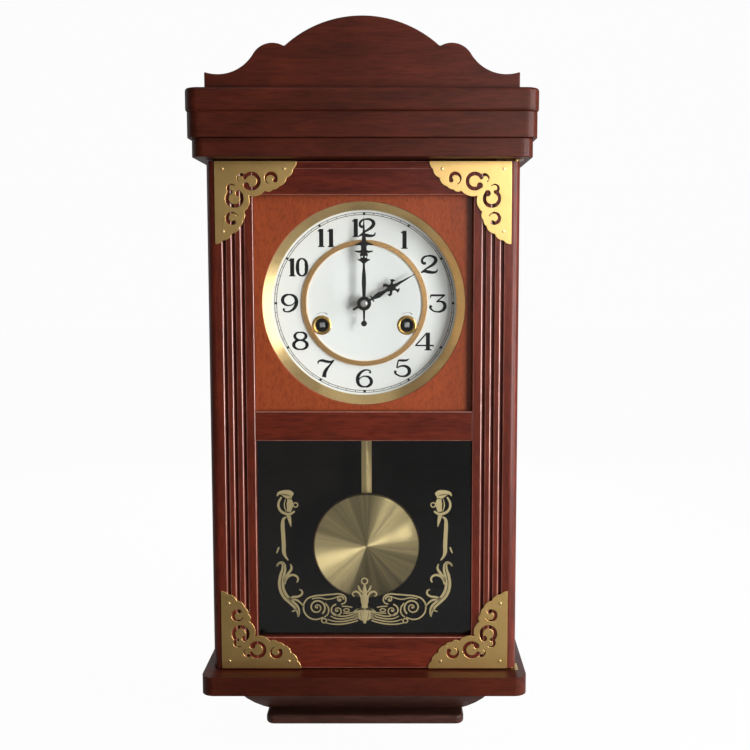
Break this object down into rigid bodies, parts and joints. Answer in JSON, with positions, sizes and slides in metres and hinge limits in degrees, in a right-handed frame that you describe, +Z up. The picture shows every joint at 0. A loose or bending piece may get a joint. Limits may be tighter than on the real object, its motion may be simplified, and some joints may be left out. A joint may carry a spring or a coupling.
{
  "type": "pendulum wall clock",
  "caption": "Spring-driven striking wall clock in a glazed wooden case, with a round white dial, pierced brass corners, a swinging pendulum, hands and a hinged door.",
  "frame": {"origin": "centre of the hanging hole in the hanger plate, in the plane of the wall", "axes": "X to the clock's right as seen from the front, +Y into the wall, +Z up"},
  "size_m": [0.312, 0.141, 0.6541],
  "materials": {
    "dark_wood": "dark red-brown gloss lacquer",
    "plain_wood": "dark stain, matte",
    "red_wood": "red-brown gloss lacquer",
    "panel_wood": "orange-brown gloss lacquer",
    "black_board": "matte black",
    "dial_paint": "white gloss enamel",
    "brass": "polished",
    "bracket_brass": "stamped sheet, satin",
    "movement_brass": "plain machined",
    "steel": "plain",
    "iron": "black paint",
    "magnet": "grey magnet",
    "hand_paint": "black gloss",
    "glass": "clear"
  },
  "bodies": {
    "case": {"back_board": "plain_wood", "side_panels": "dark_wood", "base_board": "dark_wood", "under_moulding": "dark_wood", "plinth_board": "dark_wood", "cornice_lower_board": "dark_wood", "cornice_middle_board": "dark_wood", "cornice_top_board": "dark_wood", "pediment": "dark_wood", "hanger_plate": "steel", "case_screws": "brass", "dial_board": "black_board", "dial_plate": "dial_paint", "dial_rings": "brass", "winding_grommets": "brass", "front_plate": "movement_brass", "back_plate": "movement_brass", "plate_pillars": "movement_brass", "suspension_cock": "movement_brass", "gong_block": "iron", "gong_rods": "steel", "hinge_plates": "brass", "catch_magnet": "magnet"},
    "door": {"door_left_stile": "red_wood", "door_right_stile": "red_wood", "door_top_rail": "red_wood", "door_middle_rail": "red_wood", "door_bottom_rail": "red_wood", "dial_surround_panel": "panel_wood", "dial_glass": "glass", "pendulum_glass": "glass", "glass_beads": "plain_wood", "corner_brackets": "bracket_brass", "bracket_pins": "bracket_brass", "hinge_pins": "brass", "catch_plate": "steel"},
    "pendulum": {"suspension_spring": "steel", "pendulum_rod": "brass", "pendulum_bob": "brass", "rating_nut": "brass"},
    "anchor": {"anchor": "steel"},
    "centre": {"minute_hand": "hand_paint", "hand_nut": "steel", "cannon_pinion": "steel", "centre_wheel": "movement_brass"},
    "minute_wheel": {"minute_wheel": "movement_brass"},
    "hour": {"hour_wheel": "movement_brass", "hour_hand": "hand_paint"},
    "intermediate": {"intermediate_wheel": "movement_brass"},
    "third": {"third_wheel": "movement_brass"},
    "escape": {"escape_wheel": "movement_brass"},
    "time_barrel": {"time_barrel": "movement_brass"},
    "time_winding": {"time_winding_arbor": "steel"},
    "time_click": {"time_click": "steel"},
    "strike_barrel": {"strike_barrel": "movement_brass"},
    "strike_winding": {"strike_winding_arbor": "steel"},
    "strike_click": {"strike_click": "steel"},
    "strike_wheel": {"strike_wheel": "movement_brass"},
    "fly": {"strike_fly": "movement_brass"},
    "hammer": {"hammer": "movement_brass"}
  },
  "joints": [
    {"name": "door_swing", "type": "hinge", "parent": "case", "child": "door", "pos_m": [0.1395, -0.1018, -0.2648], "axis": [0, 0, 1], "range_deg": [0, 110]},
    {"name": "pendulum_swing", "type": "hinge", "parent": "case", "child": "pendulum", "pos_m": [0, -0.0275, -0.1241], "axis": [0, 1, 0], "range_deg": [-4, 4]},
    {"name": "anchor_rock", "type": "hinge", "parent": "case", "child": "anchor", "pos_m": [0, -0.05, -0.1241], "axis": [0, 1, 0], "range_deg": [-4, 4]},
    {"name": "minute_turn", "type": "hinge", "parent": "case", "child": "centre", "pos_m": [0, -0.06, -0.1571], "axis": [0, 1, 0], "continuous": true},
    {"name": "minute_wheel_turn", "type": "hinge", "parent": "case", "child": "minute_wheel", "pos_m": [0, -0.075, -0.1696], "axis": [0, 1, 0], "continuous": true},
    {"name": "hour_turn", "type": "hinge", "parent": "case", "child": "hour", "pos_m": [0, -0.082, -0.1571], "axis": [0, 1, 0], "continuous": true},
    {"name": "intermediate_turn", "type": "hinge", "parent": "case", "child": "intermediate", "pos_m": [0.01766, -0.045, -0.14573], "axis": [0, 1, 0], "continuous": true},
    {"name": "third_turn", "type": "hinge", "parent": "case", "child": "third", "pos_m": [-0.01521, -0.06, -0.1449], "axis": [0, 1, 0], "continuous": true},
    {"name": "escape_turn", "type": "hinge", "parent": "case", "child": "escape", "pos_m": [0, -0.05, -0.1366], "axis": [0, 1, 0], "continuous": true},
    {"name": "time_barrel_turn", "type": "hinge", "parent": "case", "child": "time_barrel", "pos_m": [0.04, -0.042, -0.1777], "axis": [0, 1, 0], "continuous": true},
    {"name": "time_winding_turn", "type": "hinge", "parent": "case", "child": "time_winding", "pos_m": [0.04, -0.07, -0.1777], "axis": [0, 1, 0], "continuous": true},
    {"name": "time_click_lift", "type": "hinge", "parent": "case", "child": "time_click", "pos_m": [0.04925, -0.072, -0.16168], "axis": [0, -1, 0], "range_deg": [0, 20]},
    {"name": "strike_barrel_turn", "type": "hinge", "parent": "case", "child": "strike_barrel", "pos_m": [-0.04, -0.042, -0.1777], "axis": [0, 1, 0], "continuous": true},
    {"name": "strike_winding_turn", "type": "hinge", "parent": "case", "child": "strike_winding", "pos_m": [-0.04, -0.07, -0.1777], "axis": [0, 1, 0], "continuous": true},
    {"name": "strike_click_lift", "type": "hinge", "parent": "case", "child": "strike_click", "pos_m": [-0.04925, -0.072, -0.16168], "axis": [0, 1, 0], "range_deg": [0, 20]},
    {"name": "strike_wheel_turn", "type": "hinge", "parent": "case", "child": "strike_wheel", "pos_m": [-0.04677, -0.063, -0.13929], "axis": [0, 1, 0], "continuous": true},
    {"name": "fly_turn", "type": "hinge", "parent": "case", "child": "fly", "pos_m": [-0.0389, -0.05, -0.12565], "axis": [0, 1, 0], "continuous": true},
    {"name": "hammer_lift", "type": "hinge", "parent": "case", "child": "hammer", "pos_m": [-0.06, -0.05, -0.1291], "axis": [0, 1, 0], "range_deg": [0, 15]}
  ],
  "couplings": [
    {"joint": "anchor_rock", "follows": "pendulum_swing", "ratio": 1},
    {"joint": "intermediate_turn", "follows": "minute_turn", "ratio": -0.16667},
    {"joint": "time_barrel_turn", "follows": "minute_turn", "ratio": 0.013889},
    {"joint": "third_turn", "follows": "minute_turn", "ratio": -8.75},
    {"joint": "escape_turn", "follows": "minute_turn", "ratio": 87.5},
    {"joint": "minute_wheel_turn", "follows": "minute_turn", "ratio": -0.33333},
    {"joint": "hour_turn", "follows": "minute_turn", "ratio": 0.083333},
    {"joint": "strike_wheel_turn", "follows": "strike_barrel_turn", "ratio": -12},
    {"joint": "fly_turn", "follows": "strike_barrel_turn", "ratio": 96}
  ]
}
